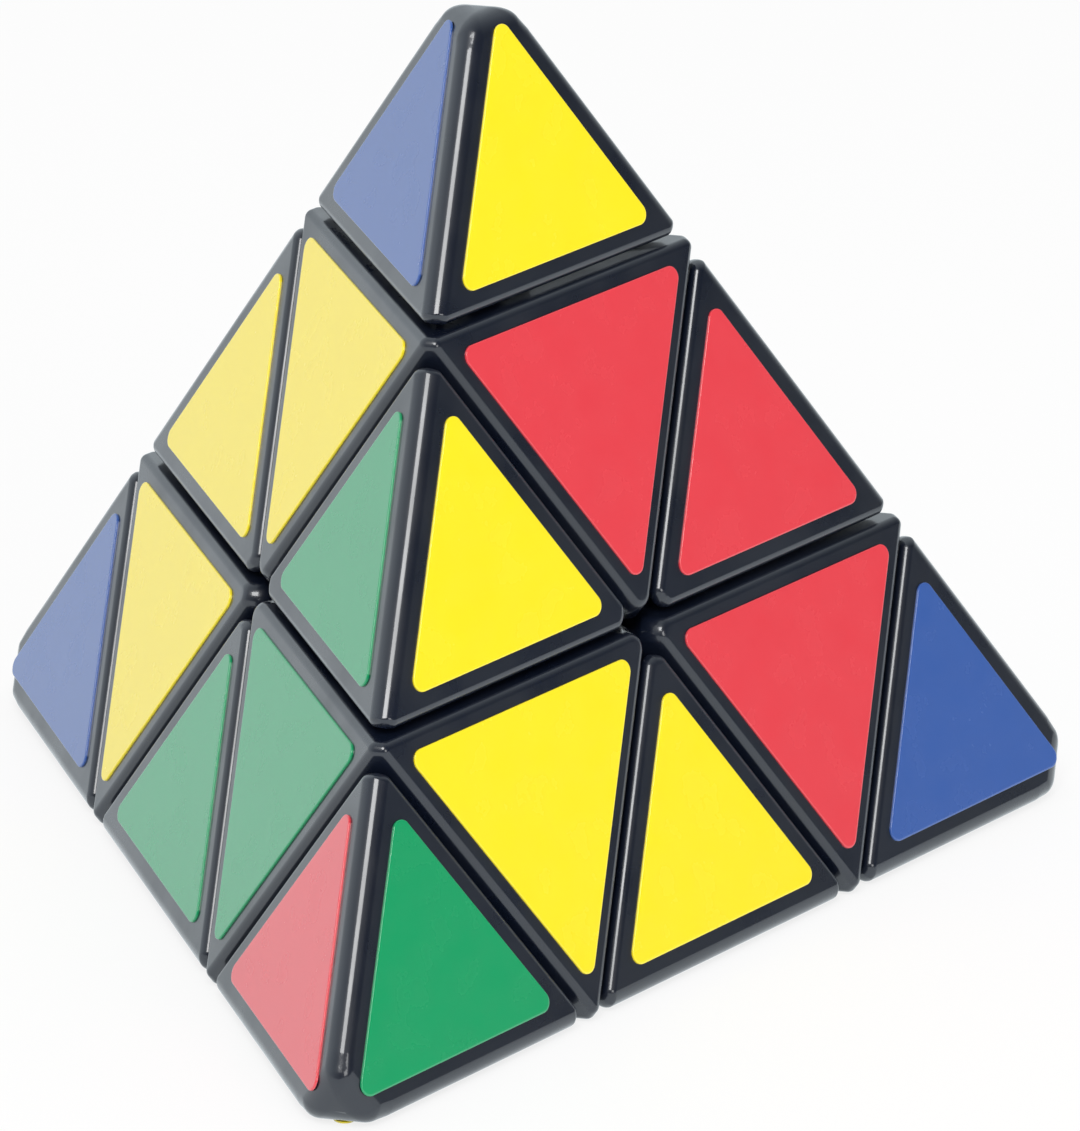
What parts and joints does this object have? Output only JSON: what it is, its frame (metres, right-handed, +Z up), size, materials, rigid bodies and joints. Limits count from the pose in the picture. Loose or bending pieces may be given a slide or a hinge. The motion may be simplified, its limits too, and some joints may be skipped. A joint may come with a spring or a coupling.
{
  "type": "pyramid twisty puzzle",
  "caption": "Pyramid-shaped twisty puzzle: layers turn about each corner and the small corner points twist on their own.",
  "frame": {"origin": "centre of the core, where the four corner axes meet; the puzzle stands on its bottom face 22 mm below", "axes": "+Z up to the top corner, -Y towards the front corner, +X to the right seen from the front"},
  "size_m": [0.097, 0.0854, 0.08],
  "materials": {
    "black_plastic": "moulded black, glossy",
    "yellow_sticker": "smooth vinyl film",
    "red_sticker": "smooth vinyl film",
    "green_sticker": "smooth vinyl film",
    "blue_sticker": "smooth vinyl film",
    "steel": "zinc-plated steel"
  },
  "bodies": {
    "core": {"core": "black_plastic", "corner_screws": "steel", "corner_springs": "steel", "corner_washers": "steel"},
    "apex_axial": {"axial_apex": "black_plastic", "sticker_axial_apex_left": "yellow_sticker", "sticker_axial_apex_right": "red_sticker", "sticker_axial_apex_back": "blue_sticker"},
    "apex_tip": {"tip_cap_apex": "black_plastic", "tip_base_apex": "black_plastic", "sticker_tip_apex_left": "blue_sticker", "sticker_tip_apex_right": "yellow_sticker", "sticker_tip_apex_back": "red_sticker"},
    "front_axial": {"axial_front": "black_plastic", "sticker_axial_front_left": "green_sticker", "sticker_axial_front_right": "yellow_sticker", "sticker_axial_front_bottom": "red_sticker"},
    "front_tip": {"tip_cap_front": "black_plastic", "tip_base_front": "black_plastic", "sticker_tip_front_left": "red_sticker", "sticker_tip_front_right": "green_sticker", "sticker_tip_front_bottom": "yellow_sticker"},
    "right_axial": {"axial_right": "black_plastic", "sticker_axial_right_right": "red_sticker", "sticker_axial_right_back": "blue_sticker", "sticker_axial_right_bottom": "green_sticker"},
    "right_tip": {"tip_cap_right": "black_plastic", "tip_base_right": "black_plastic", "sticker_tip_right_right": "blue_sticker", "sticker_tip_right_back": "green_sticker", "sticker_tip_right_bottom": "red_sticker"},
    "left_axial": {"axial_left": "black_plastic", "sticker_axial_left_left": "yellow_sticker", "sticker_axial_left_back": "blue_sticker", "sticker_axial_left_bottom": "green_sticker"},
    "left_tip": {"tip_cap_left": "black_plastic", "tip_base_left": "black_plastic", "sticker_tip_left_left": "blue_sticker", "sticker_tip_left_back": "green_sticker", "sticker_tip_left_bottom": "yellow_sticker"},
    "apex_front_edge": {"edge_apex_front": "black_plastic", "sticker_edge_apex_front_left": "green_sticker", "sticker_edge_apex_front_right": "yellow_sticker"},
    "apex_left_edge": {"edge_apex_left": "black_plastic", "sticker_edge_apex_left_left": "yellow_sticker", "sticker_edge_apex_left_back": "blue_sticker"},
    "apex_right_edge": {"edge_apex_right": "black_plastic", "sticker_edge_apex_right_right": "red_sticker", "sticker_edge_apex_right_back": "blue_sticker"},
    "front_left_edge": {"edge_front_left": "black_plastic", "sticker_edge_front_left_left": "green_sticker", "sticker_edge_front_left_bottom": "red_sticker"},
    "front_right_edge": {"edge_front_right": "black_plastic", "sticker_edge_front_right_right": "yellow_sticker", "sticker_edge_front_right_bottom": "red_sticker"},
    "right_left_edge": {"edge_right_left": "black_plastic", "sticker_edge_right_left_back": "blue_sticker", "sticker_edge_right_left_bottom": "green_sticker"}
  },
  "joints": [
    {"name": "apex_layer_turn", "type": "hinge", "parent": "core", "child": "apex_axial", "pos_m": [0, 0, 0], "axis": [0, 0, 1], "range_deg": [-120, 240]},
    {"name": "apex_tip_twist", "type": "hinge", "parent": "apex_axial", "child": "apex_tip", "pos_m": [0, 0, 0], "axis": [0, 0, 1], "continuous": true},
    {"name": "front_layer_turn", "type": "hinge", "parent": "core", "child": "front_axial", "pos_m": [0, 0, 0], "axis": [0, -0.9428, -0.3333], "range_deg": [-120, 240]},
    {"name": "front_tip_twist", "type": "hinge", "parent": "front_axial", "child": "front_tip", "pos_m": [0, 0, 0], "axis": [0, -0.9428, -0.3333], "continuous": true},
    {"name": "right_layer_turn", "type": "hinge", "parent": "core", "child": "right_axial", "pos_m": [0, 0, 0], "axis": [0.8165, 0.4714, -0.3333], "range_deg": [-120, 240]},
    {"name": "right_tip_twist", "type": "hinge", "parent": "right_axial", "child": "right_tip", "pos_m": [0, 0, 0], "axis": [0.8165, 0.4714, -0.3333], "continuous": true},
    {"name": "left_layer_turn", "type": "hinge", "parent": "core", "child": "left_axial", "pos_m": [0, 0, 0], "axis": [-0.8165, 0.4714, -0.3333], "range_deg": [-120, 240]},
    {"name": "left_tip_twist", "type": "hinge", "parent": "left_axial", "child": "left_tip", "pos_m": [0, 0, 0], "axis": [-0.8165, 0.4714, -0.3333], "continuous": true},
    {"name": "apex_front_edge_turn", "type": "hinge", "parent": "front_axial", "child": "apex_front_edge", "pos_m": [0, 0, 0], "axis": [0, 0, 1], "range_deg": [-120, 240]},
    {"name": "apex_left_edge_turn", "type": "hinge", "parent": "apex_axial", "child": "apex_left_edge", "pos_m": [0, 0, 0], "axis": [-0.8165, 0.4714, -0.3333], "range_deg": [-120, 240]},
    {"name": "apex_right_edge_turn", "type": "hinge", "parent": "apex_axial", "child": "apex_right_edge", "pos_m": [0, 0, 0], "axis": [0.8165, 0.4714, -0.3333], "range_deg": [-120, 240]},
    {"name": "front_left_edge_turn", "type": "hinge", "parent": "front_axial", "child": "front_left_edge", "pos_m": [0, 0, 0], "axis": [-0.8165, 0.4714, -0.3333], "range_deg": [-120, 240]},
    {"name": "front_right_edge_turn", "type": "hinge", "parent": "right_axial", "child": "front_right_edge", "pos_m": [0, 0, 0], "axis": [0, -0.9428, -0.3333], "range_deg": [-120, 240]},
    {"name": "right_left_edge_turn", "type": "hinge", "parent": "right_axial", "child": "right_left_edge", "pos_m": [0, 0, 0], "axis": [-0.8165, 0.4714, -0.3333], "range_deg": [-120, 240]}
  ],
  "couplings": [
    {"joint": "apex_front_edge_turn", "follows": "apex_layer_turn", "ratio": 1},
    {"joint": "apex_left_edge_turn", "follows": "left_layer_turn", "ratio": 1},
    {"joint": "apex_right_edge_turn", "follows": "right_layer_turn", "ratio": 1},
    {"joint": "front_left_edge_turn", "follows": "left_layer_turn", "ratio": 1},
    {"joint": "front_right_edge_turn", "follows": "front_layer_turn", "ratio": 1},
    {"joint": "right_left_edge_turn", "follows": "left_layer_turn", "ratio": 1}
  ]
}
